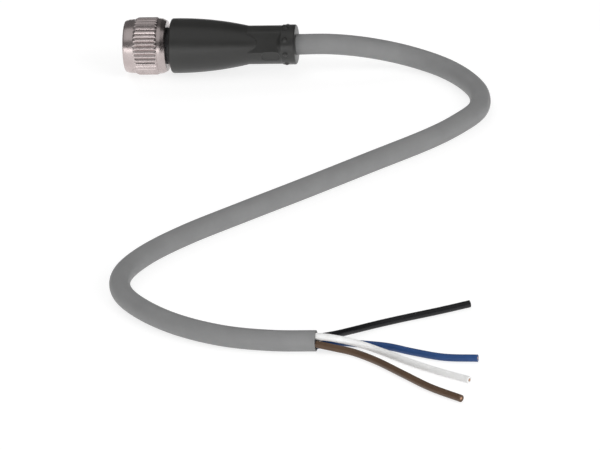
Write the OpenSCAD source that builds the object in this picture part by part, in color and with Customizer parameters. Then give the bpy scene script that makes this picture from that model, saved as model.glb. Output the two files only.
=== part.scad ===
// Straight M12 female cordset: a knurled coupling nut turning on a moulded
// connector, and a grey cable laid in an S whose four cores end free.
// X runs along the connector towards the cable, Z is up and the mating face
// of the contact carrier is the plane X = 0. Everything is in millimetres.

/* [Coupling nut] */
// Wall of the nut from its thread relief to the crests of the knurl
nut_wall = 1.1; // [1:0.05:1.3]
// Length of the nut
nut_len = 10.65; // [10.6:0.05:11]
// Number of knurl teeth
knurl_teeth = 40; // [30:1:48]
// Depth of the knurl teeth
knurl_depth = 0.36; // [0.2:0.02:0.4]
// How far the nut's front rim stands past the mating face
nut_lead = 0.8; // [0.5:0.1:1]
// Minor diameter of the M12 x 1 internal thread
thread_minor_d = 10.92; // [10.92:0.01:11.1]
// Length of the thread from the nut's front rim
thread_len = 6.6; // [6.2:0.1:6.8]

/* [Contact carrier] */
// Diameter of the plug insert
insert_d = 8.5; // [8.4:0.05:8.5]
// Length of the plug insert in front of the seal
insert_len = 6.2; // [6:0.1:6.3]
// Wall of the sleeve that the nut turns on
sleeve_wall = 0.53; // [0.45:0.01:0.6]
// Width of the coding keyway
keyway_w = 1.3; // [1.1:0.05:1.4]
// Depth of the coding keyway
keyway_depth = 0.7; // [0.5:0.05:0.8]

/* [Contacts] */
// Diameter of the circle that the contacts stand on
contact_pcd = 5; // [4.9:0.05:5.1]
// Diameter of the guide holes in the mating face
guide_hole_d = 1.3; // [1.25:0.05:1.4]
// Outside diameter of a contact
contact_d = 1.7; // [1.6:0.02:1.74]
// Diameter of the socket that takes a 1 mm pin
socket_d = 0.96; // [0.9:0.02:1]

/* [Grip] */
// Length of the moulded grip
grip_len = 31.8; // [31:0.1:33]
// Gap between the nut and the grip
grip_gap = 1.1; // [0.8:0.05:1.4]
// Largest diameter of the grip
grip_d = 13.86; // [13.5:0.02:14]
// Diameter of the grip's slim rear neck
grip_neck_d = 9.76; // [9.5:0.02:10]
// Distance across the two side flats of the rear neck
flat_across = 8.5; // [8.1:0.1:8.8]
// Diameter of the end collar
collar_d = 10.1; // [10:0.02:10.4]
// Angle that the connector lies turned about its own axis
lie_turn = 15; // [0:5:45]

/* [Cable] */
// Outside diameter of the cable jacket
cable_d = 5.2; // [5.1:0.05:5.3]
// Outside diameter of one core
core_d = 1.8; // [1.5:0.05:1.8]
// Diameter of one stranded conductor
conductor_d = 0.72; // [0.6:0.02:0.72]

/* [Hidden] */

$fn = 96;
eps = 0.05;

// Named clearances
turn_play = 0.08;        // nut bore over the sleeve, radial
thrust_play = 0.2;       // nut shoulder behind the sleeve's flange
flange_play = 0.55;      // sleeve flange inside the nut's relief, radial
seat_play = 0.02;        // between moulded faces, radial
contact_play = 0.06;     // contact in its bore, radial
strand_play = 0.06;      // conductor in its insulation, radial
core_gap = 0.12;         // between cores that lie side by side

// Contact carrier, along X
seat_len = 1.2;
seat_step = 0.25;
tail_d = insert_d - 2 * seat_step;
carrier_len = 14;
face_chamfer = 0.3;
guide_len = 0.8;
chamber_d = contact_d + 2 * contact_play;
lock_wall = 0.29;
lock_groove_d = contact_pcd + chamber_d + 2 * lock_wall;
lock_groove_x = 12.2;
lock_groove_len = 1;

// Sleeve round the carrier's tail, with the flange that the nut pulls on
flange_x = insert_len + seat_len;
flange_len = 0.8;
neck_x = flange_x + flange_len;
neck_d = tail_d + 2 * (seat_play + sleeve_wall);
sleeve_end = 12;

// Seal ring
seal_section_d = 1.16;

// Nut
relief_depth = 0.69;
relief_d = thread_minor_d + 2 * relief_depth;
flange_d = relief_d - 2 * flange_play;
knurl_d = relief_d + 2 * nut_wall;
nut_x = -nut_lead;
nut_bore_d = neck_d + 2 * turn_play;
relief_x = nut_x + thread_len;
shoulder_x = neck_x + thrust_play;
nut_end = nut_x + nut_len;
front_band = 2.6;
rear_band = 1.95;
knurl_x = nut_x + front_band;
knurl_end = nut_end - rear_band;
front_drop = 0.42;
rear_drop = 0.25;
ring_r = knurl_d / 2 - front_drop;
rear_r = knurl_d / 2 - rear_drop;
mouth = 0.65;

// Contacts
barrel_x = 0.9;
barrel_len = 8;
socket_len = 6.4;
slot_len = 3.6;
slot_w = 0.24;
crimp_end = carrier_len + 3;
crimp_x = crimp_end - 3.4;
crimp_d = 1.6;
crimp_bore_d = conductor_d + 2 * strand_play;
contact_r = contact_pcd / 2;

// Grip
grip_x = nut_end + grip_gap;
grip_end = grip_x + grip_len;
barrel_bow_r = 82;
bow_start = 1.4;
bow_len = 24.5;
collar_len = 3.7;
collar_x = grip_end - collar_len;
neck_lead = 15;
neck_start = grip_x + neck_lead;
flat_lean = 15;
pip_d = 1.5;
pip_setback = 2.4;
pip_x = grip_end - pip_setback;
pocket_setback = 7.3;
pocket_x = grip_end - pocket_setback;
pocket_len = 2.15;
pocket_w = 2.6;
pocket_depth = 0.3;
pocket_lean = 31;

// Inner mould and the cable inside the connector
mould_len = 13.5;
mould_end = carrier_len + mould_len;
mould_shoulder_x = carrier_len + 6;
mould_taper_x = mould_shoulder_x + 3;
mould_cover = 1.4;
mould_skin = 0.65;
jacket_start = mould_taper_x + 1;
lead_start = crimp_end + 0.6;
lead_end = jacket_start - 0.1;
bundle_r = (core_d + core_gap) / sqrt(2);

// Cores: angle at the contact, and direction up from -Y where each leaves the jacket
CORES = ["brown", "white", "blue", "black"];
CONTACT_ANGLES = [225, 135, 315, 45];
EXIT_ANGLES = [-10, 80, 260, 170];

// Surface that the cordset lies on
floor_z = -knurl_d / 2;

// Lie of the cable, point by point: straight out of the grip, down to the
// surface, then an S on it
lie_z = floor_z + cable_d / 2;
cable_route = [
  [grip_end, 0, 0],
  [51, 0, 0],
  [59, 0.2, -0.9],
  [67, 0.6, -2.7],
  [74.5, -0.8, -4.3],
  [81.5, -6, lie_z],
  [87.5, -13.5, lie_z],
  [91.5, -21.8, lie_z],
  [92.3, -31, lie_z],
  [88.6, -39.6, lie_z],
  [82, -49, lie_z],
  [69, -63, lie_z],
  [55, -78, lie_z],
  [41, -92.6, lie_z],
  [29, -105.6, lie_z],
  [20.6, -117.6, lie_z],
  [16.6, -129, lie_z],
  [18.2, -139.8, lie_z],
  [25, -150, lie_z],
  [35, -159, lie_z],
  [47, -165.4, lie_z],
  [59, -168.2, lie_z],
  [70, -168.6, lie_z]
];
cable_tip = cable_route[len(cable_route) - 1];

// Lie of each free core, from the cut end of the jacket to its own cut end
core_z = floor_z + core_d / 2;
core_routes = [
  [[74.5, -170.3, -5.8], [79.5, -171.8, core_z], [86, -177.1, core_z],
   [93.5, -184.8, core_z], [101, -192.4, core_z], [109.2, -198.8, core_z]],
  [[74.5, -169.1, -3.8], [80, -169.4, -5], [86, -171.7, -6.1],
   [93.8, -177.6, core_z], [102, -183.4, core_z], [109.9, -188.2, core_z]],
  [[74.5, -166.2, -6.2], [81, -167, core_z], [87.5, -168.6, core_z],
   [94, -171.8, core_z], [102, -175, core_z], [110.4, -175.7, core_z]],
  [[74.2, -164.6, -4.8], [78, -160, -5.8], [83, -155.6, core_z],
   [89.5, -152, core_z], [97.5, -147.9, core_z], [104.4, -144, core_z]]
];

// Where core i leaves the jacket
function core_exit(i) = cable_tip + bundle_r * [0, -cos(EXIT_ANGLES[i]), sin(EXIT_ANGLES[i])];

// Whole line of free core i
function core_line(i) = concat([core_exit(i)], core_routes[i]);

// Place of contact i across the connector
function contact_place(i) = [
  contact_r * cos(CONTACT_ANGLES[i]),
  contact_r * sin(CONTACT_ANGLES[i])
];

// Place of core i across the connector where it enters the jacket
function lead_place(i) = [
  bundle_r * cos(CONTACT_ANGLES[i]),
  bundle_r * sin(CONTACT_ANGLES[i])
];

function unit(v) = v / norm(v);

// Direction of a line at its point i: along X at the start, along the last
// stretch or the given direction at the end
function heading(line, i, last) =
  i == 0 ? [1, 0, 0]
  : i == len(line) - 1 ? (is_undef(last) ? unit(line[i] - line[i - 1]) : last)
  : unit(unit(line[i + 1] - line[i]) + unit(line[i] - line[i - 1]));

// Points of one ring of a swept tube
function ring(at, along, r, sides) =
  let(side = unit(cross([0, 0, 1], along)), top = cross(along, side))
  [for (k = [0 : sides - 1]) at + r * (cos(360 * k / sides) * side + sin(360 * k / sides) * top)];

// Faces of the skin between rings, starting at point number first
function skin(rings, sides, first, inward) = [
  for (i = [0 : rings - 2], k = [0 : sides - 1])
    let(
      a = first + i * sides + k,
      b = first + i * sides + (k + 1) % sides,
      quad = [a, a + sides, b + sides, b]
    )
    inward ? [quad[3], quad[2], quad[1], quad[0]] : quad
];

// Solid tube swept along a line
module swept_rod(line, d, sides, last) {
  points = [for (i = [0 : len(line) - 1]) each ring(line[i], heading(line, i, last), d / 2, sides)];
  total = len(points);
  caps = [
    [for (k = [0 : sides - 1]) k],
    [for (k = [0 : sides - 1]) total - 1 - k]
  ];
  polyhedron(points, concat(skin(len(line), sides, 0, false), caps));
}

// Hollow tube swept along a line
module swept_pipe(line, d, bore, sides) {
  rings = len(line);
  outer = [for (i = [0 : rings - 1]) each ring(line[i], heading(line, i), d / 2, sides)];
  inner = [for (i = [0 : rings - 1]) each ring(line[i], heading(line, i), bore / 2, sides)];
  half = len(outer);
  near_end = [for (k = [0 : sides - 1]) [k, (k + 1) % sides, half + (k + 1) % sides, half + k]];
  far = half - sides;
  far_end = [
    for (k = [0 : sides - 1])
      [far + (k + 1) % sides, far + k, half + far + k, half + far + (k + 1) % sides]
  ];
  polyhedron(
    concat(outer, inner),
    concat(skin(rings, sides, 0, false), skin(rings, sides, half, true), near_end, far_end)
  );
}

// Turns what is drawn along Z to lie along X, starting at x
module along_x(x) {
  translate([x, 0, 0]) rotate([0, 90, 0]) children();
}

// Solid of revolution about X from points of [x, radius]
module turned(profile) {
  rotate([0, 90, 0])
    rotate_extrude()
      polygon([for (p = profile) [p[1], p[0]]]);
}

// Round bar along X between two x values
module bar(x_from, x_to, d) {
  along_x(x_from) cylinder(h = x_to - x_from, d = d);
}

// Round bar along the lead of core i, from the crimp end to the jacket, which
// runs on by the given lengths before and after it
module lead_bar(i, d, before, after) {
  from = contact_place(i);
  to = lead_place(i);
  span = [lead_end - lead_start, to[0] - from[0], to[1] - from[1]];
  translate([lead_start, from[0], from[1]])
    rotate([0, acos(span[2] / norm(span)), atan2(span[1], span[0])])
      translate([0, 0, -before])
        cylinder(h = norm(span) + before + after, d = d);
}

// Everything moulded lies turned by the same angle
module lying() {
  rotate([-lie_turn, 0, 0]) children();
}

// Metal ring with the internal thread, without its knurl
module nut_body() {
  turned([
    [nut_x, 0],
    [nut_x, ring_r - 0.52],
    [nut_x + 0.9, ring_r - 0.1],
    [knurl_x, ring_r],
    [knurl_end - eps, ring_r],
    [knurl_end, rear_r],
    [nut_end - 1.15, rear_r - 0.1],
    [nut_end - 0.1, rear_r - 0.6],
    [nut_end, rear_r - 0.7],
    [nut_end, 0]
  ]);
}

// Straight knurl, bevelled at both ends
module knurl() {
  crest = knurl_d / 2;
  root = crest - knurl_depth;
  step = 360 / knurl_teeth;
  intersection() {
    along_x(knurl_x)
      linear_extrude(knurl_end - knurl_x)
        polygon([
          for (i = [0 : knurl_teeth - 1], c = [[-0.5, root], [-0.12, crest], [0.12, crest]])
            c[1] * [cos((i + c[0]) * step), sin((i + c[0]) * step)]
        ]);
    turned([
      [knurl_x, 0],
      [knurl_x, ring_r - eps],
      [knurl_x + 0.7, crest + 0.02],
      [knurl_end - 0.6, crest + 0.02],
      [knurl_end, ring_r - eps],
      [knurl_end, 0]
    ]);
  }
}

module coupling_nut() {
  minor_r = thread_minor_d / 2;
  color("silver")
    difference() {
      union() {
        nut_body();
        knurl();
      }
      turned([
        [nut_x - eps, 0],
        [nut_x - eps, minor_r + mouth + eps],
        [nut_x + mouth, minor_r],
        [relief_x, minor_r],
        [relief_x, relief_d / 2],
        [shoulder_x, relief_d / 2],
        [shoulder_x, nut_bore_d / 2],
        [nut_end + eps, nut_bore_d / 2],
        [nut_end + eps, 0]
      ]);
    }
}

module seal_ring() {
  centre_r = tail_d / 2 + seat_play + seal_section_d / 2;
  color("dimgray")
    along_x(insert_len + seat_len / 2)
      rotate_extrude()
        translate([centre_r, 0]) circle(d = seal_section_d);
}

// Outline of the contact carrier with the groove that locks it in the grip
module carrier_blank() {
  r = insert_d / 2;
  turned([
    [0, 0],
    [0, r - face_chamfer],
    [face_chamfer, r],
    [insert_len, r],
    [insert_len, tail_d / 2],
    [lock_groove_x, tail_d / 2],
    [lock_groove_x, lock_groove_d / 2],
    [lock_groove_x + lock_groove_len, lock_groove_d / 2],
    [lock_groove_x + lock_groove_len, tail_d / 2],
    [carrier_len, tail_d / 2],
    [carrier_len, 0]
  ]);
}

module contact_carrier() {
  color([0.08, 0.08, 0.09])
    lying()
      difference() {
        carrier_blank();
        translate([-eps, -keyway_w / 2, insert_d / 2 - keyway_depth])
          cube([insert_len + eps, keyway_w, 2]);
        for (i = [0 : 3]) {
          place = contact_place(i);
          translate([0, place[0], place[1]]) {
            bar(-eps, guide_len + eps, guide_hole_d);
            bar(guide_len, carrier_len + eps, chamber_d);
          }
        }
      }
}

// Sleeve pressed over the carrier's tail: its flange holds the nut and the seal
module nut_sleeve() {
  bore_r = tail_d / 2 + seat_play;
  color([0.08, 0.08, 0.09])
    turned([
      [flange_x, bore_r],
      [flange_x, flange_d / 2],
      [neck_x, flange_d / 2],
      [neck_x, neck_d / 2],
      [sleeve_end, neck_d / 2],
      [sleeve_end, bore_r]
    ]);
}

// Gold-plated socket contact number i with its crimp barrel
module contact(i) {
  place = contact_place(i);
  color([0.83, 0.66, 0.3])
    lying()
      translate([0, place[0], place[1]])
        difference() {
          union() {
            bar(barrel_x, barrel_x + barrel_len, contact_d);
            bar(barrel_x + barrel_len - eps, crimp_end, crimp_d);
          }
          bar(barrel_x - eps, barrel_x + socket_len, socket_d);
          bar(crimp_x, crimp_end + eps, crimp_bore_d);
          for (turn = [0, 90])
            rotate([turn, 0, 0])
              translate([barrel_x - eps, -slot_w / 2, -contact_d])
                cube([slot_len + eps, slot_w, 2 * contact_d]);
        }
}

module contact_1() { contact(0); }
module contact_2() { contact(1); }
module contact_3() { contact(2); }
module contact_4() { contact(3); }

// Outline of the inner mould, grown by a clearance
module mould_blank(grow) {
  front_r = contact_r + crimp_d / 2 + mould_cover + grow;
  tail_r = cable_d / 2 + mould_skin + grow;
  turned([
    [carrier_len - grow, 0],
    [carrier_len - grow, front_r],
    [mould_shoulder_x, front_r],
    [mould_taper_x, tail_r + 0.2],
    [mould_end + grow, tail_r],
    [mould_end + grow, 0]
  ]);
}

module inner_mould() {
  jacket_bore = cable_d + 2 * seat_play;
  core_bore = core_d + 2 * seat_play;
  crimp_bore = crimp_d + 2 * contact_play;
  color([0.16, 0.16, 0.17])
    lying()
      difference() {
        mould_blank(0);
        bar(jacket_start - seat_play, mould_end + eps, jacket_bore);
        for (i = [0 : 3]) {
          place = contact_place(i);
          translate([0, place[0], place[1]])
            bar(carrier_len - eps, lead_start, crimp_bore);
          lead_bar(i, core_bore, 0.1, 0.4);
        }
      }
}

// Radius of the grip's bowed barrel at a distance from its front face
function bow_r(s) =
  s < bow_start
    ? grip_d / 2
    : grip_d / 2 - barrel_bow_r + sqrt(pow(barrel_bow_r, 2) - pow(s - bow_start, 2));

// Bowed barrel of the grip, running on inside the rear neck
module grip_barrel() {
  steps = 20;
  edge = 0.35;
  turned(concat(
    [[grip_x, 0], [grip_x, grip_d / 2 - 2 * edge], [grip_x + edge, grip_d / 2 - edge / 2]],
    [
      for (i = [0 : steps])
        let(s = bow_start + (bow_len - bow_start) * i / steps)
        [grip_x + s, bow_r(s)]
    ],
    [[grip_x + bow_len, 0]]
  ));
}

// Rear neck with its two side flats
module grip_neck() {
  side = grip_neck_d;
  difference() {
    bar(neck_start, collar_x + 0.5, grip_neck_d);
    for (turn = [0, 180])
      rotate([turn - flat_lean, 0, 0])
        translate([neck_start - eps, flat_across / 2, -side / 2])
          cube([collar_x - neck_start, side, side]);
  }
}

// End collar with eight small round pips
module grip_collar() {
  r = collar_d / 2;
  edge = 0.45;
  turned([
    [collar_x - 0.4, 0],
    [collar_x - 0.4, grip_neck_d / 2 - 0.4],
    [collar_x + 0.3, r],
    [grip_end - edge, r],
    [grip_end - edge * 0.3, r - edge * 0.3],
    [grip_end, r - edge],
    [grip_end, 0]
  ]);
  for (i = [0 : 7])
    rotate([22.5 + 45 * i, 0, 0])
      translate([pip_x, 0, r - 0.45])
        sphere(d = pip_d, $fn = 32);
}

// Shallow long pocket with round ends below each flat
module grip_pocket() {
  translate([pocket_x, 0, grip_neck_d / 2 - pocket_depth]) {
    for (x = [0, pocket_len])
      translate([x, 0, 0]) cylinder(h = pocket_w, d = pocket_w);
    translate([0, -pocket_w / 2, 0]) cube([pocket_len, pocket_w, pocket_w]);
  }
}

module grip() {
  r = seat_play;
  color([0.13, 0.13, 0.135])
    lying()
      difference() {
        union() {
          grip_barrel();
          grip_neck();
          grip_collar();
        }
        for (side = [90, -90])
          rotate([side + pocket_lean, 0, 0]) grip_pocket();
        bar(grip_x - eps, sleeve_end + r, neck_d + 2 * r);
        bar(sleeve_end, lock_groove_x, tail_d + 2 * r);
        bar(lock_groove_x - eps, carrier_len, lock_groove_d + 2 * r);
        bar(lock_groove_x + lock_groove_len, carrier_len + r, tail_d + 2 * r);
        mould_blank(r);
        bar(mould_end, grip_end + eps, cable_d + 2 * r);
      }
}

module cable_jacket() {
  color([0.55, 0.56, 0.56])
    swept_rod(concat([[jacket_start, 0, 0]], cable_route), cable_d, 12, [1, 0, 0]);
}

// Insulation of core i: the lead inside the connector and the free end
module core(i) {
  bore = conductor_d + 2 * strand_play;
  lying()
    difference() {
      lead_bar(i, core_d, 0, 0);
      lead_bar(i, bore, 1, 1);
    }
  swept_pipe(core_line(i), core_d, bore, 8);
}

// Stranded copper of core i, bare where it enters its crimp barrel
module conductor(i) {
  place = contact_place(i);
  color([0.78, 0.45, 0.3]) {
    lying() {
      translate([0, place[0], place[1]]) bar(crimp_x + eps, lead_start + eps, conductor_d);
      lead_bar(i, conductor_d, 0, 0);
    }
    swept_rod(core_line(i), conductor_d, 8);
  }
}

module core_brown() { color([0.4, 0.28, 0.2]) core(0); }
module core_white() { color([0.93, 0.93, 0.92]) core(1); }
module core_blue() { color([0.1, 0.25, 0.6]) core(2); }
module core_black() { color([0.1, 0.1, 0.11]) core(3); }
module conductor_brown() { conductor(0); }
module conductor_white() { conductor(1); }
module conductor_blue() { conductor(2); }
module conductor_black() { conductor(3); }

coupling_nut();
seal_ring();
contact_carrier();
nut_sleeve();
contact_1();
contact_2();
contact_3();
contact_4();
inner_mould();
grip();
cable_jacket();
core_brown();
core_white();
core_blue();
core_black();
conductor_brown();
conductor_white();
conductor_blue();
conductor_black();
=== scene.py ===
"""Straight M12 socket cordset: knurled coupling nut, moulded grip and a cable with four free cores.

X runs along the connector towards the cable and Z is up. Sizes written with MM are in metres, and
the part's other sizes are in mm. Lamps, floor, the camera's distance and the grain of materials
are in metres.
"""

from math import atan2, cos, degrees, hypot, inf, pi, radians, sin, sqrt, tau

import bmesh
import bpy
from mathutils import Matrix, Vector


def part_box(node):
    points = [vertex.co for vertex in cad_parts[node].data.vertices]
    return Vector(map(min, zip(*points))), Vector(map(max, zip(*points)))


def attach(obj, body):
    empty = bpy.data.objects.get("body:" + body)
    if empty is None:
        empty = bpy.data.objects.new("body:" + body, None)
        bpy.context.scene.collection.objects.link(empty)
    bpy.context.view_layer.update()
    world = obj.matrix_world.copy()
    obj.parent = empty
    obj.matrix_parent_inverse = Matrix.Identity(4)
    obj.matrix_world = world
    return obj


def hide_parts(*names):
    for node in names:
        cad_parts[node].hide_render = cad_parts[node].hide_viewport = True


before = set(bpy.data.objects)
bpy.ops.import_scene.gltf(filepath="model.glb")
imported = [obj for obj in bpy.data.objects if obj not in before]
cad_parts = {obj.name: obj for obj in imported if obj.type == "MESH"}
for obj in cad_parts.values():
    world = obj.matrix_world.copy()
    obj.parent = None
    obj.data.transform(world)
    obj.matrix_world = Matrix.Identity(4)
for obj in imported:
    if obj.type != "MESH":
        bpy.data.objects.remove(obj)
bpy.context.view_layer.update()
MM = 0.001

# ---------------------------------------------------------------- sizes of the part

NUT_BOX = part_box("coupling_nut")
GRIP_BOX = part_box("grip")
FLOOR = NUT_BOX[0][2]

NUT_START = NUT_BOX[0][0] / MM
NUT_END = NUT_BOX[1][0] / MM
NUT_CREST_R = 7.25
KNURL_START = 1.8
KNURL_END = 7.9
KNURL_TEETH = 40
KNURL_DEPTH = 0.36
KNURL_ROOT_DROP = 0.03
KNURL_ROUND = 0.12
TOOTH_FLANK = (0.1, 0.5)
FRONT_BEVEL = 0.5
REAR_BEVEL = 0.62
THREAD_MINOR_R = 5.46
THREAD_ROOT_R = 6.0
THREAD_PITCH = 1.0
THREAD_SINK = 0.05
THREAD_LEAD = 1.5
THREAD_TURNS = 9
THREAD_STEPS = 96
CREST_ROUND = 0.03
RIM_CHAMFER = 0.06
RELIEF_X = 5.8
RELIEF_R = 6.15
SHOULDER_X = 8.4
NUT_BORE_R = 4.63
NUT_BORE_CHAMFER = 0.15

GRIP_START = GRIP_BOX[0][0] / MM
GRIP_LEN = (GRIP_BOX[1][0] - GRIP_BOX[0][0]) / MM
GRIP_R = 6.93
GRIP_EDGE = 0.55
BOW_R = 82
BOW_START = 1.4
NECK_R = 4.88
FLAT_R = 4.25
FLAT_STEP = 0.15
FLAT_ROUND = 0.15
TONGUE_EDGE = 0.03
COLLAR_R = 5.05
COLLAR_EDGE = 0.45
COLLAR_RAMP = (27.7, 4.48, 0.8)
COLLAR_ROUND = 0.2
PIP_R = 0.75
PIP_SUNK = 0.45
PIP_PLACE = 29.4
PIP_ROUND = 0.06
DIMPLE_DEPTH = 0.14
DIMPLE_RIM = (0.8, 1.45)
POCKET = (24.5, 26.65)
POCKET_HALF_WIDTH = 1.3
POCKET_FLOOR_R = 4.58
POCKET_EDGE = (-0.12, 0.06)
CABLE_BORE_R = 2.62

# Directions about the connector's axis, in degrees up from -Y
FLAT_TURNS = (30, 210)
POCKET_TURNS = (-16, 164)
PIP_TURNS = [37.5 + 45 * i for i in range(8)]

CABLE_R = 2.6 * MM
JACKET_WALL = 0.33 * MM
JACKET_START_X = 24
JACKET_SUNK = 0.4 * MM
CORE_R = 0.9 * MM
CORE_BORE_R = 0.42 * MM
STRAND_R = 0.07 * MM
STRAND_RINGS = ((1, 0), (6, 0.142 * MM), (12, 0.284 * MM))
STRAND_TWIST = 14 * MM

LIE_TURN = radians(15)
CONTACT_R = 2.5
LEAD_R = 1.358
# This order at the contacts isn't to be relied on: it is a known fault
CONTACT_ANGLES = {"brown": 225, "white": 135, "blue": 315, "black": 45}
CRIMP_X = 13.65
LEAD_START_X = 17.6
LEAD_END_X = 23.9

LIE_Z = -4.65
CORE_Z = -6.35
POINTS_PER_STRETCH = 10
CABLE_ROUTE = [
    (42.75, 0, 0),
    (51, 0, 0),
    (59, 0.2, -0.9),
    (67, 0.6, -2.7),
    (74.5, -0.8, -4.3),
    (81.5, -6, LIE_Z),
    (87.5, -13.5, LIE_Z),
    (91.5, -21.8, LIE_Z),
    (92.3, -31, LIE_Z),
    (88.6, -39.6, LIE_Z),
    (82, -49, LIE_Z),
    (69, -63, LIE_Z),
    (55, -78, LIE_Z),
    (41, -92.6, LIE_Z),
    (29, -105.6, LIE_Z),
    (20.6, -117.6, LIE_Z),
    (16.6, -129, LIE_Z),
    (18.2, -139.8, LIE_Z),
    (25, -150, LIE_Z),
    (35, -159, LIE_Z),
    (47, -165.4, LIE_Z),
    (59, -168.2, LIE_Z),
    (70, -168.6, LIE_Z),
]
CORE_ROUTES = {
    "brown": [
        (74.5, -170.3, -5.8), (79.5, -171.8, CORE_Z), (86, -177.1, CORE_Z),
        (93.5, -184.8, CORE_Z), (101, -192.4, CORE_Z), (109.2, -198.8, CORE_Z),
    ],
    "white": [
        (74.5, -169.1, -3.8), (80, -169.4, -5), (86, -171.7, -6.1),
        (93.8, -177.6, CORE_Z), (102, -183.4, CORE_Z), (109.9, -188.2, CORE_Z),
    ],
    "blue": [
        (74.5, -166.2, -6.2), (81, -167, CORE_Z), (87.5, -168.6, CORE_Z),
        (94, -171.8, CORE_Z), (102, -175, CORE_Z), (110.4, -175.7, CORE_Z),
    ],
    "black": [
        (74.2, -164.6, -4.8), (78, -160, -5.8), (83, -155.6, CORE_Z),
        (89.5, -152, CORE_Z), (97.5, -147.9, CORE_Z), (104.4, -144, CORE_Z),
    ],
}
EXIT_ANGLES = {"brown": -10, "white": 80, "blue": 260, "black": 170}
CORE_COLOURS = {
    "brown": (0.09, 0.052, 0.03),
    "white": (0.9, 0.9, 0.89),
    "blue": (0.019, 0.062, 0.19),
    "black": (0.008, 0.008, 0.009),
}

MOULD_GRAIN = 0.00016
MOULD_DEPTH = 0.000012
RING_SIZE = 0.00012
RING_DEPTH = 0.000001
DRAWN_DEPTH = 0.00002

# Azimuth, elevation and roll of the camera in degrees
CAMERA_TURN = (9.5, 24, -4.4)
CAMERA_TARGET = (55.8, -94.5, -7.25)
CAMERA_DISTANCE = 4.1125
LENS_MM = 1000
SENSOR_MM = 36

FLOOR_HALF_SIDE = 1.6
FLOOR_CENTRE = (0.05, -0.1)
FLOOR_DROP = 0.02 * MM
WHITE = (1, 1, 1, 1)
PAPER = (0.8, 0.8, 0.8, 1)
SHADE = (0.35, 0.35, 0.35, 1)
GLOW_SEEN = 0.78
GLOW_MIRRORED = 0.74
GLOW_BOUNCED = 0.3
WORLD_FALL = {"From Min": -0.3, "From Max": 0.55, "To Min": 0.21, "To Max": 0.03}

# Name, place, size, watts and whether shiny surfaces show it
LAMP_AIM = (0.05, -0.08, 0)
LAMPS = (
    ("top_softbox", (0, -0.35, 1.15), (2.2, 1.4), 6, True),
    ("front_strip", (-0.2, -1.4, 0.14), (2.4, 0.3), 7, True),
    ("right_fill", (1.25, -0.85, 0.8), (1.2, 0.9), 12, False),
    ("back_fill", (-0.4, 1.2, 0.9), (1.2, 0.9), 7, False),
)


# ---------------------------------------------------------------- camera, floor and light

def look_axes(azimuth, elevation, roll):
    """Right, up and back of a camera that looks from that azimuth and elevation, in degrees."""
    a, e, r = radians(azimuth), radians(elevation), radians(roll)
    back = Vector((sin(a) * cos(e), -cos(a) * cos(e), sin(e)))
    right = Vector((cos(a), sin(a), 0))
    up = back.cross(right)
    return cos(r) * right + sin(r) * up, cos(r) * up - sin(r) * right, back


def add_camera():
    lens = bpy.data.cameras.new("camera")
    lens.lens = LENS_MM
    lens.sensor_width = SENSOR_MM
    lens.clip_end = 20
    camera = bpy.data.objects.new("camera", lens)
    bpy.context.scene.collection.objects.link(camera)
    right, up, back = look_axes(*CAMERA_TURN)
    target = Vector(CAMERA_TARGET) * MM
    place = Matrix((right, up, back)).transposed().to_4x4()
    place.translation = target + back * CAMERA_DISTANCE
    camera.matrix_world = place
    bpy.context.scene.camera = camera


def add_world():
    """White for camera rays, and for all others dim light that falls off towards +X."""
    world = bpy.data.worlds.new("studio")
    bpy.context.scene.world = world
    world.use_nodes = True
    tree = world.node_tree
    tree.nodes.clear()
    path = add(tree, "ShaderNodeLightPath")
    dim = add(tree, "ShaderNodeBackground", {"Color": WHITE})
    direction = add(tree, "ShaderNodeTexCoord").outputs["Generated"]
    sides = add(tree, "ShaderNodeSeparateXYZ")
    fall = add(tree, "ShaderNodeMapRange", WORLD_FALL)
    tree.links.new(direction, sides.inputs[0])
    tree.links.new(sides.outputs["X"], fall.inputs["Value"])
    tree.links.new(fall.outputs["Result"], dim.inputs["Strength"])
    white = add(tree, "ShaderNodeBackground", {"Color": WHITE, "Strength": 1})
    mix = add(tree, "ShaderNodeMixShader")
    out = add(tree, "ShaderNodeOutputWorld")
    tree.links.new(path.outputs["Is Camera Ray"], mix.inputs[0])
    tree.links.new(dim.outputs[0], mix.inputs[1])
    tree.links.new(white.outputs[0], mix.inputs[2])
    tree.links.new(mix.outputs[0], out.inputs["Surface"])


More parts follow.
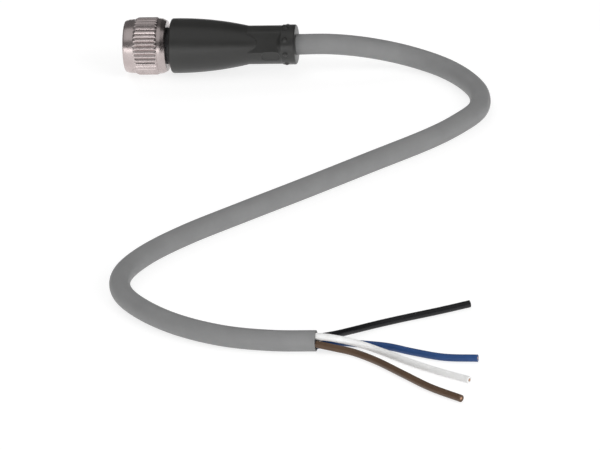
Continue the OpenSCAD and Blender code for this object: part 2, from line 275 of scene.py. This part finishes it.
def add_floor():
    """Flat pale floor that reads white and takes the object's shadow.

    It glows for camera and mirrored rays, and the bounced glow also lights the object.
    """
    bm = bmesh.new()
    bmesh.ops.create_grid(bm, x_segments=1, y_segments=1, size=FLOOR_HALF_SIDE)
    bmesh.ops.translate(bm, verts=bm.verts, vec=(*FLOOR_CENTRE, FLOOR - FLOOR_DROP))
    floor = new_object("floor", bm)
    material = bpy.data.materials.new("white_table")
    material.use_nodes = True
    tree = material.node_tree
    tree.nodes.clear()
    path = add(tree, "ShaderNodeLightPath")
    mirrored = add(tree, "ShaderNodeMath", operation="MAXIMUM")
    paper = add(tree, "ShaderNodeBsdfDiffuse", {"Color": PAPER})
    shade = add(tree, "ShaderNodeBsdfDiffuse", {"Color": SHADE})
    glow = add(tree, "ShaderNodeEmission", {"Color": WHITE, "Strength": GLOW_SEEN})
    faint_glow = add(tree, "ShaderNodeEmission", {"Color": WHITE, "Strength": GLOW_MIRRORED})
    bounce = add(tree, "ShaderNodeEmission", {"Color": WHITE, "Strength": GLOW_BOUNCED})
    seen = add(tree, "ShaderNodeAddShader")
    reflected = add(tree, "ShaderNodeAddShader")
    lit = add(tree, "ShaderNodeAddShader")
    to_mirrored = add(tree, "ShaderNodeMixShader")
    to_seen = add(tree, "ShaderNodeMixShader")
    out = add(tree, "ShaderNodeOutputMaterial")
    link = tree.links.new
    link(path.outputs["Is Glossy Ray"], mirrored.inputs[0])
    link(path.outputs["Is Transmission Ray"], mirrored.inputs[1])
    link(shade.outputs[0], seen.inputs[0])
    link(glow.outputs[0], seen.inputs[1])
    link(paper.outputs[0], reflected.inputs[0])
    link(faint_glow.outputs[0], reflected.inputs[1])
    link(paper.outputs[0], lit.inputs[0])
    link(bounce.outputs[0], lit.inputs[1])
    link(mirrored.outputs[0], to_mirrored.inputs[0])
    link(lit.outputs[0], to_mirrored.inputs[1])
    link(reflected.outputs[0], to_mirrored.inputs[2])
    link(path.outputs["Is Camera Ray"], to_seen.inputs[0])
    link(to_mirrored.outputs[0], to_seen.inputs[1])
    link(seen.outputs[0], to_seen.inputs[2])
    link(to_seen.outputs[0], out.inputs["Surface"])
    floor.data.materials.append(material)


def add_softbox(name, place, size, watts, mirrored):
    light = bpy.data.lights.new(name, "AREA")
    light.shape = "RECTANGLE"
    light.size, light.size_y = size
    light.energy = watts
    lamp = bpy.data.objects.new(name, light)
    lamp.visible_glossy = mirrored
    bpy.context.scene.collection.objects.link(lamp)
    away = (Vector(place) - Vector(LAMP_AIM)).normalized()
    turn = away.to_track_quat("Z", "Y").to_matrix().to_4x4()
    turn.translation = Vector(place)
    lamp.matrix_world = turn


def add_lights():
    for lamp in LAMPS:
        add_softbox(*lamp)


# ---------------------------------------------------------------- mesh helpers

def new_object(name, bm, sharp=35):
    """Turns a bmesh into an object at the origin, smooth up to an angle in degrees."""
    mesh = bpy.data.meshes.new(name)
    for face in bm.faces:
        face.smooth = True
    bm.to_mesh(mesh)
    bm.free()
    mesh.set_sharp_from_angle(angle=radians(sharp))
    made = bpy.data.objects.new(name, mesh)
    bpy.context.scene.collection.objects.link(made)
    return made


def spun(profile, steps):
    """Closed bmesh spun about X from a closed outline of (x, radius) in mm."""
    bm = bmesh.new()
    verts = [bm.verts.new((x * MM, 0, r * MM)) for x, r in profile]
    edges = [bm.edges.new(pair) for pair in zip(verts, verts[1:] + verts[:1])]
    bmesh.ops.spin(
        bm, geom=verts + edges, cent=(0, 0, 0), axis=(1, 0, 0), dvec=(0, 0, 0),
        angle=tau, steps=steps, use_merge=True,
    )
    bmesh.ops.remove_doubles(bm, verts=bm.verts, dist=1e-7)
    bmesh.ops.recalc_face_normals(bm, faces=bm.faces)
    return bm


def reshape(bm, beyond, radius):
    """Gives each vertex farther from the axis than beyond mm the radius of its x and its turn."""
    for vert in bm.verts:
        r = hypot(vert.co.y, vert.co.z)
        if r > beyond * MM:
            turn = degrees(atan2(vert.co.z, -vert.co.y))
            scale = radius(vert.co.x / MM, turn) * MM / r
            vert.co.y *= scale
            vert.co.z *= scale
    bmesh.ops.recalc_face_normals(bm, faces=bm.faces)


def stations(*stretches):
    """Places along X from stretches of (start, end, step)."""
    places = []
    for start, end, step in stretches:
        count = round((end - start) / step)
        places += [start + (end - start) * i / count for i in range(count)]
    return places + [stretches[-1][1]]


def flowing(points):
    """Dense points of one smooth curve through the route's points, given in mm."""
    route = [Vector(p) * MM for p in points]
    first = route[0] - (route[1] - route[0])
    last = route[-1] + (route[-1] - route[-2])
    route = [first, *route, last]
    dense = []
    for a, b, c, d in zip(route, route[1:], route[2:], route[3:]):
        for i in range(POINTS_PER_STRETCH):
            t = i / POINTS_PER_STRETCH
            dense.append(0.5 * (
                2 * b + (c - a) * t + (2 * a - 5 * b + 4 * c - d) * t * t
                + (3 * b - a - 3 * c + d) * t ** 3
            ))
    dense.append(route[-2])
    return dense


def swept(lines, radius, resolution):
    """Open round tubes along lines of points, as one bmesh."""
    curve = bpy.data.curves.new("sweep", "CURVE")
    curve.dimensions = "3D"
    curve.bevel_depth = radius
    curve.bevel_resolution = resolution
    for points in lines:
        spline = curve.splines.new("POLY")
        spline.points.add(len(points) - 1)
        for point, place in zip(spline.points, points):
            point.co = (*place, 1)
    holder = bpy.data.objects.new("sweep", curve)
    bpy.context.scene.collection.objects.link(holder)
    depsgraph = bpy.context.evaluated_depsgraph_get()
    mesh = bpy.data.meshes.new_from_object(holder.evaluated_get(depsgraph))
    bm = bmesh.new()
    bm.from_mesh(mesh)
    bpy.data.objects.remove(holder)
    bpy.data.curves.remove(curve)
    bpy.data.meshes.remove(mesh)
    return bm


def close_ends(bm):
    """Caps the open ends and returns the caps."""
    ends = [edge for edge in bm.edges if edge.is_boundary]
    return bmesh.ops.holes_fill(bm, edges=ends, sides=0)["faces"]


def smoothstep(low, high, value):
    t = min(max((value - low) / (high - low), 0), 1)
    return t * t * (3 - 2 * t)


def blend(a, b, share):
    return a + (b - a) * share


def soft_min(a, b, width):
    """Lower of two values, rounded where they cross."""
    near = max(width - abs(a - b), 0) / width
    return min(a, b) - near * near * width / 4


def soft_max(a, b, width):
    return -soft_min(-a, -b, width)


def between(turn, other):
    """Angle between two directions about the axis, in degrees."""
    return abs((turn - other + 180) % 360 - 180)


# ---------------------------------------------------------------- coupling nut

# Outline of the nut under the knurl, from the front rim to the rear rim
NUT_OUTLINE = [
    (-0.8, 6.36), (-0.68, 6.5), (0.2, 6.74), (1.2, 6.83), (1.8, 6.86),
    (7.85, 6.86), (7.92, 7.02), (8.7, 6.92), (9.68, 6.46), (9.85, 6.32),
]


def nut_outline(x):
    for (x0, r0), (x1, r1) in zip(NUT_OUTLINE, NUT_OUTLINE[1:]):
        if x <= x1 + 1e-4:
            return blend(r0, r1, (x - x0) / (x1 - x0))
    return NUT_OUTLINE[-1][1]


def knurl_radius(x, turn):
    """Height of the straight teeth, bevelled where they start and end."""
    step = 360 / KNURL_TEETH
    phase = abs(((turn + 90) / step + 0.5) % 1 - 0.5)
    tooth = NUT_CREST_R - KNURL_DEPTH * smoothstep(*TOOTH_FLANK, phase)
    root = NUT_CREST_R - KNURL_DEPTH - KNURL_ROOT_DROP
    front = root + (x - KNURL_START) * FRONT_BEVEL
    rear = root + (KNURL_END - x) * REAR_BEVEL
    return soft_min(tooth, min(front, rear), KNURL_ROUND)


def nut_radius(x, turn):
    ring = nut_outline(x)
    if KNURL_START < x < KNURL_END:
        return max(ring, knurl_radius(x, turn))
    return ring


def make_nut():
    """Turned ring with a straight knurl between two smooth bands."""
    outer = stations(
        (NUT_START, -0.68, 0.04), (-0.68, KNURL_START, 0.25), (KNURL_START, 2.8, 0.1),
        (2.8, 7.1, 0.5), (7.1, 7.85, 0.075), (7.85, 7.92, 0.035), (7.92, 9.68, 0.16),
        (9.68, NUT_END, 0.057),
    )
    thread_bore = THREAD_ROOT_R + THREAD_SINK
    bore = [
        (NUT_END, NUT_BORE_R + NUT_BORE_CHAMFER), (NUT_END - NUT_BORE_CHAMFER, NUT_BORE_R),
        (SHOULDER_X, NUT_BORE_R), (SHOULDER_X, RELIEF_R), (RELIEF_X, RELIEF_R),
        (RELIEF_X, thread_bore), (NUT_START + RIM_CHAMFER, thread_bore),
        (NUT_START, thread_bore + RIM_CHAMFER),
    ]
    bm = spun([(x, NUT_CREST_R) for x in outer] + bore, 8 * KNURL_TEETH)
    reshape(bm, RELIEF_R + 0.05, nut_radius)
    nut = new_object("nut", bm, sharp=50)
    finish_piece(nut, "nut", ["coupling_nut"], "nickel")


def thread_profile(start):
    """One turn of the thread, from groove over crest to groove."""
    return [
        (start, THREAD_ROOT_R),
        (start + 0.06 * THREAD_PITCH, THREAD_ROOT_R),
        (start + 0.25 * THREAD_PITCH, blend(THREAD_ROOT_R, THREAD_MINOR_R, 0.5)),
        (start + 0.40 * THREAD_PITCH, THREAD_MINOR_R + CREST_ROUND),
        (start + 0.44 * THREAD_PITCH, THREAD_MINOR_R),
        (start + 0.62 * THREAD_PITCH, THREAD_MINOR_R),
        (start + 0.66 * THREAD_PITCH, THREAD_MINOR_R + CREST_ROUND),
        (start + 0.81 * THREAD_PITCH, blend(THREAD_ROOT_R, THREAD_MINOR_R, 0.5)),
        (start + THREAD_PITCH, THREAD_ROOT_R),
    ]


def make_thread():
    """Internal M12 x 1 thread: one pitch of outline carried round the bore, then cut square."""
    profile = thread_profile(NUT_START - THREAD_LEAD)
    bm = bmesh.new()
    verts = [bm.verts.new((x * MM, 0, r * MM)) for x, r in profile]
    edges = [bm.edges.new(pair) for pair in zip(verts, verts[1:])]
    bmesh.ops.spin(
        bm, geom=verts + edges, cent=(0, 0, 0), axis=(1, 0, 0),
        dvec=(THREAD_PITCH * MM / THREAD_STEPS, 0, 0), angle=tau * THREAD_TURNS,
        steps=THREAD_STEPS * THREAD_TURNS,
    )
    bmesh.ops.remove_doubles(bm, verts=bm.verts, dist=2e-7)
    cuts = ((NUT_START + 0.1, True), (RELIEF_X - 0.02, False))
    for x, before in cuts:
        bmesh.ops.bisect_plane(
            bm, geom=bm.verts[:] + bm.edges[:] + bm.faces[:], dist=1e-8,
            plane_co=(x * MM, 0, 0), plane_no=(1, 0, 0),
            clear_inner=before, clear_outer=not before,
        )
    for vert in bm.verts:
        r = hypot(vert.co.y, vert.co.z)
        mouth = (THREAD_MINOR_R - 0.15) * MM - vert.co.x
        if r < mouth:
            scale = min(mouth, THREAD_ROOT_R * MM) / r
            vert.co.y *= scale
            vert.co.z *= scale
    open_edges = [edge for edge in bm.edges if edge.is_boundary]
    grown = bmesh.ops.extrude_edge_only(bm, edges=open_edges)["geom"]
    for vert in (item for item in grown if isinstance(item, bmesh.types.BMVert)):
        scale = (THREAD_ROOT_R + 0.1) * MM / hypot(vert.co.y, vert.co.z)
        vert.co.y *= scale
        vert.co.z *= scale
    bmesh.ops.bridge_loops(bm, edges=[edge for edge in bm.edges if edge.is_boundary])
    bmesh.ops.recalc_face_normals(bm, faces=bm.faces)
    thread = new_object("nut_thread", bm, sharp=50)
    finish_piece(thread, "nut", ["coupling_nut"], "nickel")


# ---------------------------------------------------------------- grip

def bow_radius(s):
    """Barrel of the grip: a short straight front, then one long bow."""
    if s < BOW_START:
        return GRIP_R
    return GRIP_R - BOW_R + sqrt(BOW_R ** 2 - (s - BOW_START) ** 2)


def flat_reach(distance, turn):
    """Distance from the axis to the nearer flat in that direction."""
    lean = min(between(turn, flat) for flat in FLAT_TURNS)
    return distance / cos(radians(lean)) if lean < 80 else inf


def rounded_end(r, s_from_end, edge):
    """Rounds a radius off over the last stretch before an end."""
    if s_from_end >= edge:
        return r
    return r - edge + sqrt(edge ** 2 - (edge - s_from_end) ** 2)


def pocket_share(s, turn, r):
    """How far a place lies inside one of the two long pockets, from 0 to 1."""
    across = radians(min(between(turn, pocket) for pocket in POCKET_TURNS)) * r
    along = max(POCKET[0] - s, s - POCKET[1], 0)
    return 1 - smoothstep(*POCKET_EDGE, hypot(along, across) - POCKET_HALF_WIDTH)


def pip_height(s, turn, r):
    """Small round pip in a shallow dimple."""
    across = radians(min(between(turn, pip) for pip in PIP_TURNS)) * r
    away = hypot(s - PIP_PLACE, across)
    dimple = -DIMPLE_DEPTH * (1 - smoothstep(*DIMPLE_RIM, away))
    if away >= PIP_R:
        return dimple
    return soft_max(dimple, sqrt(PIP_R ** 2 - away ** 2) - PIP_SUNK, PIP_ROUND)


def grip_radius(x, turn):
    s = x - GRIP_START
    bow = bow_radius(s)
    neck = soft_min(NECK_R, flat_reach(FLAT_R - FLAT_STEP, turn), FLAT_ROUND)
    cut = min(NECK_R, flat_reach(FLAT_R, turn))
    r = blend(neck, bow, smoothstep(-TONGUE_EDGE, TONGUE_EDGE, bow - cut))
    if s > 23:
        ramp_start, ramp_r, slope = COLLAR_RAMP
        r = soft_max(r, min(ramp_r + (s - ramp_start) * slope, COLLAR_R), COLLAR_ROUND)
        share = pocket_share(s, turn, r)
        lean = min(between(turn, pocket) for pocket in POCKET_TURNS)
        if share > 0:
            r = blend(r, min(r, POCKET_FLOOR_R / cos(radians(lean))), share)
    if s > 27.9:
        r += pip_height(s, turn, r)
    r = rounded_end(r, s, GRIP_EDGE)
    return rounded_end(r, GRIP_LEN - s, COLLAR_EDGE)


def make_grip():
    """Moulded grip: bowed barrel, neck with two flats and pockets, collar with eight pips."""
    front = [GRIP_START + GRIP_EDGE * (1 - cos(i * pi / 16)) for i in range(8)]
    back = [GRIP_START + GRIP_LEN - COLLAR_EDGE * (1 - sin(i * pi / 14)) for i in range(1, 8)]
    middle = stations(
        (GRIP_START + GRIP_EDGE, GRIP_START + 18, 0.3), (GRIP_START + 18, GRIP_START + 30.4, 0.1),
        (GRIP_START + 30.4, GRIP_START + GRIP_LEN - COLLAR_EDGE, 0.2),
    )
    cavity = [
        (GRIP_START + GRIP_LEN, CABLE_BORE_R), (27.52, CABLE_BORE_R), (27.52, 3.27), (23, 3.47),
        (20, 4.72), (14.02, 4.72), (14.02, 4.02), (13.2, 4.02), (13.2, 3.72), (12.2, 3.72),
        (12.2, 4.02), (12.02, 4.02), (12.02, 4.57), (GRIP_START, 4.57),
    ]
    outline = [(x, GRIP_R) for x in front + middle + back] + cavity
    bm = spun(outline, 256)
    reshape(bm, GRIP_R - 1, grip_radius)
    grip = new_object("grip_body", bm, sharp=60)
    finish_piece(grip, "cordset", ["grip"], "moulded_black")


# ---------------------------------------------------------------- cable and cores

def make_cable_root():
    """Stretch of the cable inside the grip."""
    root = [Vector((x, 0, 0)) * MM for x in stations((JACKET_START_X, CABLE_ROUTE[0][0], 3))]
    bm = swept([root], CABLE_R, 14)
    close_ends(bm)
    bmesh.ops.recalc_face_normals(bm, faces=bm.faces)
    piece = new_object("cable_root", bm)
    finish_piece(piece, "cordset", ["cable_jacket"], "jacket_grey")


def make_cable():
    """Jacket from the grip to its square cut end, which is sunk round the cores."""
    line = flowing(CABLE_ROUTE)
    bm = swept([line], CABLE_R, 14)
    tip = max(close_ends(bm), key=lambda cap: -cap.calc_center_median().y)
    bmesh.ops.inset_region(bm, faces=[tip], thickness=JACKET_WALL)
    pulled = bmesh.ops.extrude_discrete_faces(bm, faces=[tip])["faces"][0]
    bmesh.ops.translate(bm, verts=pulled.verts, vec=(-JACKET_SUNK, 0, 0))
    bmesh.ops.recalc_face_normals(bm, faces=bm.faces)
    cable = new_object("cable", bm)
    finish_piece(cable, "cordset", ["cable_jacket"], "jacket_grey")


def strand_lines(line):
    """Centrelines of the strands twisted round a line: one, six, then twelve."""
    lines = []
    for count, away in STRAND_RINGS:
        for k in range(count):
            run = 0
            places = []
            for i, point in enumerate(line):
                ahead = line[min(i + 1, len(line) - 1)] - line[max(i - 1, 0)]
                side = Vector((0, 0, 1)).cross(ahead).normalized()
                top = ahead.normalized().cross(side)
                run += (point - line[i - 1]).length if i else 0
                turn = tau * (k / count + run / STRAND_TWIST)
                places.append(point + away * (cos(turn) * side + sin(turn) * top))
            lines.append(places)
    return lines


def make_insulation(name, line):
    bm = swept([line], CORE_R, 8)
    bmesh.ops.solidify(bm, geom=bm.faces[:], thickness=CORE_R - CORE_BORE_R)
    bmesh.ops.recalc_face_normals(bm, faces=bm.faces)
    return new_object(name, bm)


def make_strands(name, line):
    bm = swept(strand_lines(line), STRAND_R, 1)
    close_ends(bm)
    bmesh.ops.recalc_face_normals(bm, faces=bm.faces)
    return new_object(name, bm)


def make_core_pieces(colour, prefix, insulated, stranded):
    """Insulation and strands of one stretch of a core, each along its own line."""
    core = make_insulation(f"{prefix}lead_{colour}", insulated)
    finish_piece(core, "cordset", [f"core_{colour}"], f"core_{colour}")
    strands = make_strands(f"{prefix}strands_{colour}", stranded)
    finish_piece(strands, "cordset", [f"conductor_{colour}"], "copper")
    return core, strands


def make_core(colour):
    """Free core: an insulation pipe round nineteen twisted strands, cut square."""
    turn = radians(EXIT_ANGLES[colour])
    x, y, z = CABLE_ROUTE[-1]
    start = (x, y - LEAD_R * cos(turn), z + LEAD_R * sin(turn))
    line = flowing([start, *CORE_ROUTES[colour]])
    core, strands = make_core_pieces(colour, "", line, line)


def inner_point(x, angle, r):
    """Point inside the connector, which lies turned about its axis."""
    y = r * cos(radians(angle))
    z = r * sin(radians(angle))
    lying_y = y * cos(LIE_TURN) + z * sin(LIE_TURN)
    lying_z = z * cos(LIE_TURN) - y * sin(LIE_TURN)
    return Vector((x, lying_y, lying_z)) * MM


def make_inner_lead(colour):
    """Stretch of the core between its crimp barrel and the jacket."""
    angle = CONTACT_ANGLES[colour]
    start = inner_point(LEAD_START_X, angle, CONTACT_R)
    end = inner_point(LEAD_END_X, angle, LEAD_R)
    lead = [start.lerp(end, i / 12) for i in range(13)]
    bare = [inner_point(CRIMP_X, angle, CONTACT_R).lerp(start, i / 6) for i in range(6)]
    make_core_pieces(colour, "inner_", lead, bare + lead)


# ---------------------------------------------------------------- shader groups

def add(tree, kind, values=None, **settings):
    """Adds a node, sets its properties and the values of its inputs."""
    node = tree.nodes.new(kind)
    for name, value in settings.items():
        setattr(node, name, value)
    for name, value in (values or {}).items():
        node.inputs[name].default_value = value
    return node


def new_group(name, inputs, outputs):
    """Shader group with inputs of (name, kind, default) and outputs of (name, kind)."""
    tree = bpy.data.node_groups.new(name, "ShaderNodeTree")
    for socket, kind, default in inputs:
        made = tree.interface.new_socket(socket, in_out="INPUT", socket_type=kind)
        made.default_value = default
    for socket, kind in outputs:
        tree.interface.new_socket(socket, in_out="OUTPUT", socket_type=kind)
    return tree, add(tree, "NodeGroupInput"), add(tree, "NodeGroupOutput")


def scaled(tree, source, size):
    """Vector divided by a size, for a pattern of that size."""
    node = add(tree, "ShaderNodeVectorMath", operation="SCALE")
    inverse = add(tree, "ShaderNodeMath", operation="DIVIDE")
    inverse.inputs[0].default_value = 1
    tree.links.new(source, node.inputs[0])
    tree.links.new(size, inverse.inputs[1])
    tree.links.new(inverse.outputs[0], node.inputs["Scale"])
    return node.outputs[0]


def grain_group():
    """Fine spark-eroded grain of a mould, with the larger unevenness under it."""
    tree, enter, leave = new_group(
        "moulded grain",
        [("Grain size", "NodeSocketFloat", 0.0002), ("Unevenness", "NodeSocketFloat", 0.5)],
        [("Height", "NodeSocketFloat")],
    )
    place = add(tree, "ShaderNodeTexCoord").outputs["Object"]
    fine = add(tree, "ShaderNodeTexNoise", {"Scale": 1, "Detail": 3, "Roughness": 0.6})
    cells = add(tree, "ShaderNodeTexVoronoi", {"Scale": 0.8}, feature="SMOOTH_F1")
    broad = add(tree, "ShaderNodeTexNoise", {"Scale": 0.06, "Detail": 2})
    pits = add(tree, "ShaderNodeMath", operation="MULTIPLY_ADD")
    pits.inputs[1].default_value = 0.6
    total = add(tree, "ShaderNodeMath", operation="MULTIPLY_ADD")
    link = tree.links.new
    spread = scaled(tree, place, enter.outputs["Grain size"])
    for texture in (fine, cells, broad):
        link(spread, texture.inputs["Vector"])
    link(cells.outputs["Distance"], pits.inputs[0])
    link(fine.outputs["Fac"], pits.inputs[2])
    link(broad.outputs["Fac"], total.inputs[0])
    link(enter.outputs["Unevenness"], total.inputs[1])
    link(pits.outputs[0], total.inputs[2])
    link(total.outputs[0], leave.inputs["Height"])
    return tree


def handling_group():
    """Patches of slightly other colour and gloss that touch and time leave."""
    tree, enter, leave = new_group(
        "handling",
        [
            ("Colour", "NodeSocketColor", (0.5, 0.5, 0.5, 1)),
            ("Rubbed colour", "NodeSocketColor", (0.6, 0.6, 0.6, 1)),
            ("Patch size", "NodeSocketFloat", 0.004),
            ("Roughness", "NodeSocketFloat", 0.5),
            ("Roughness change", "NodeSocketFloat", 0.08),
        ],
        [("Colour", "NodeSocketColor"), ("Roughness", "NodeSocketFloat")],
    )
    place = add(tree, "ShaderNodeTexCoord").outputs["Object"]
    patches = add(tree, "ShaderNodeTexNoise", {"Scale": 1, "Detail": 5, "Roughness": 0.62})
    rubbed = add(tree, "ShaderNodeMapRange", {"From Min": 0.38, "From Max": 0.68})
    tint = add(tree, "ShaderNodeMix", data_type="RGBA")
    gloss = add(tree, "ShaderNodeMath", operation="MULTIPLY_ADD")
    link = tree.links.new
    link(scaled(tree, place, enter.outputs["Patch size"]), patches.inputs["Vector"])
    link(patches.outputs["Fac"], rubbed.inputs["Value"])
    link(rubbed.outputs["Result"], tint.inputs["Factor"])
    link(enter.outputs["Colour"], tint.inputs["A"])
    link(enter.outputs["Rubbed colour"], tint.inputs["B"])
    link(rubbed.outputs["Result"], gloss.inputs[0])
    link(enter.outputs["Roughness change"], gloss.inputs[1])
    link(enter.outputs["Roughness"], gloss.inputs[2])
    link(tint.outputs["Result"], leave.inputs["Colour"])
    link(gloss.outputs[0], leave.inputs["Roughness"])
    return tree


def turning_group():
    """Rings that the cutting tool leaves on turned metal, across X."""
    tree, enter, leave = new_group(
        "turning marks",
        [("Ring size", "NodeSocketFloat", 0.0001)],
        [("Height", "NodeSocketFloat")],
    )
    place = add(tree, "ShaderNodeTexCoord").outputs["Object"]
    stretch = add(tree, "ShaderNodeVectorMath", operation="MULTIPLY")
    stretch.inputs[1].default_value = (1, 0.02, 0.02)
    rings = add(tree, "ShaderNodeTexNoise", {"Scale": 1, "Detail": 2})
    link = tree.links.new
    link(place, stretch.inputs[0])
    link(scaled(tree, stretch.outputs[0], enter.outputs["Ring size"]), rings.inputs["Vector"])
    link(rings.outputs["Fac"], leave.inputs["Height"])
    return tree


def drawn_group():
    """Fine lines along an extruded sheath, from its own UV map."""
    tree, enter, leave = new_group(
        "extrusion lines",
        [("Lines round", "NodeSocketFloat", 60), ("Lines along", "NodeSocketFloat", 8)],
        [("Height", "NodeSocketFloat")],
    )
    place = add(tree, "ShaderNodeUVMap", uv_map="UVMap").outputs["UV"]
    split = add(tree, "ShaderNodeSeparateXYZ")
    joined = add(tree, "ShaderNodeCombineXYZ")
    along = add(tree, "ShaderNodeMath", operation="MULTIPLY")
    round_x = add(tree, "ShaderNodeMath", operation="MULTIPLY")
    lines = add(tree, "ShaderNodeTexNoise", {"Scale": 1, "Detail": 2})
    link = tree.links.new
    link(place, split.inputs[0])
    link(split.outputs["X"], along.inputs[0])
    link(enter.outputs["Lines along"], along.inputs[1])
    link(split.outputs["Y"], round_x.inputs[0])
    link(enter.outputs["Lines round"], round_x.inputs[1])
    link(along.outputs[0], joined.inputs["X"])
    link(round_x.outputs[0], joined.inputs["Y"])
    link(joined.outputs[0], lines.inputs["Vector"])
    link(lines.outputs["Fac"], leave.inputs["Height"])
    return tree


GROUPS = {
    "grain": grain_group(),
    "handling": handling_group(),
    "turning": turning_group(),
    "drawn": drawn_group(),
}


# ---------------------------------------------------------------- materials

def new_material(name):
    material = bpy.data.materials.new(name)
    material.use_nodes = True
    return material, material.node_tree, material.node_tree.nodes["Principled BSDF"]


def use_group(tree, name, values):
    node = add(tree, "ShaderNodeGroup", node_tree=GROUPS[name])
    for socket, value in values.items():
        node.inputs[socket].default_value = value
    return node


def handled(tree, shader, colour, rubbed, patch, roughness, change):
    """Feeds colour and roughness of a surface that has been handled."""
    node = use_group(tree, "handling", {
        "Colour": (*colour, 1), "Rubbed colour": (*rubbed, 1), "Patch size": patch,
        "Roughness": roughness, "Roughness change": change,
    })
    tree.links.new(node.outputs["Colour"], shader.inputs["Base Color"])
    tree.links.new(node.outputs["Roughness"], shader.inputs["Roughness"])


def bumped(tree, shader, height, distance):
    """Feeds the normal from a height; distance is the height's full depth in metres."""
    bump = add(tree, "ShaderNodeBump", {"Distance": distance, "Strength": 1})
    tree.links.new(height, bump.inputs["Height"])
    tree.links.new(bump.outputs["Normal"], shader.inputs["Normal"])


def moulded(name, colour, rubbed, roughness):
    material, tree, shader = new_material(name)
    handled(tree, shader, colour, rubbed, patch=0.005, roughness=roughness, change=0.09)
    texture = use_group(tree, "grain", {"Grain size": MOULD_GRAIN, "Unevenness": 2.0})
    bumped(tree, shader, texture.outputs["Height"], MOULD_DEPTH)
    shader.inputs["Specular IOR Level"].default_value = 0.5
    return material


def turned_metal(name, colour, rubbed, roughness):
    material, tree, shader = new_material(name)
    handled(tree, shader, colour, rubbed, patch=0.003, roughness=roughness, change=0.08)
    texture = use_group(tree, "turning", {"Ring size": RING_SIZE})
    bumped(tree, shader, texture.outputs["Height"], RING_DEPTH)
    shader.inputs["Metallic"].default_value = 1
    return material


def extruded(name, colour, rubbed, roughness, around, along):
    material, tree, shader = new_material(name)
    handled(tree, shader, colour, rubbed, patch=0.006, roughness=roughness, change=0.1)
    texture = use_group(tree, "drawn", {"Lines round": around, "Lines along": along})
    bumped(tree, shader, texture.outputs["Height"], DRAWN_DEPTH)
    shader.inputs["Specular IOR Level"].default_value = 0.3
    return material


def tinted(colour, factor):
    return tuple(min(channel * factor, 1) for channel in colour)


def make_materials():
    made = {
        "nickel": turned_metal("nickel", (0.405, 0.352, 0.346), (0.475, 0.418, 0.412), 0.24),
        "gold": turned_metal("gold", (0.80, 0.58, 0.22), (0.86, 0.66, 0.32), 0.22),
        "copper": turned_metal("copper", (0.68, 0.39, 0.26), (0.76, 0.49, 0.35), 0.34),
        "moulded_black": moulded(
            "moulded_black", (0.018, 0.018, 0.017), (0.022, 0.022, 0.021), 0.36),
        "carrier_black": moulded(
            "carrier_black", (0.02, 0.02, 0.022), (0.027, 0.027, 0.028), 0.42),
        "inner_black": moulded("inner_black", (0.05, 0.05, 0.053), (0.065, 0.065, 0.067), 0.62),
        "seal_rubber": moulded("seal_rubber", (0.035, 0.035, 0.038), (0.05, 0.05, 0.05), 0.6),
        "jacket_grey": extruded(
            "jacket_grey", (0.25, 0.251, 0.252), (0.275, 0.276, 0.277), 0.55, around=45, along=30),
    }
    for colour, value in CORE_COLOURS.items():
        made[f"core_{colour}"] = extruded(
            f"core_{colour}", value, tinted(value, 1.2), 0.38, around=18, along=12)
    return made


MATERIALS = make_materials()


def finish_piece(piece, body, nodes, material):
    """Seats a piece on its body, in the place of its CAD nodes, with its material."""
    piece.data.materials.append(MATERIALS[material])
    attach(piece, body)
    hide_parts(*nodes)


def dress_frame():
    """Materials of the CAD nodes that stay."""
    looks = {
        "contact_carrier": "carrier_black", "nut_sleeve": "carrier_black",
        "seal_ring": "seal_rubber", "inner_mould": "inner_black",
        "contact_1": "gold", "contact_2": "gold", "contact_3": "gold", "contact_4": "gold",
    }
    for node, material in looks.items():
        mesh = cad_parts[node].data
        mesh.materials.clear()
        mesh.materials.append(MATERIALS[material])


# ---------------------------------------------------------------- build

bpy.context.scene.view_settings.view_transform = "Standard"
add_camera()
make_cable()
make_cable_root()
for colour in CORE_ROUTES:
    make_core(colour)
    make_inner_lead(colour)
make_nut()
make_thread()
make_grip()
dress_frame()
add_world()
add_floor()
add_lights()
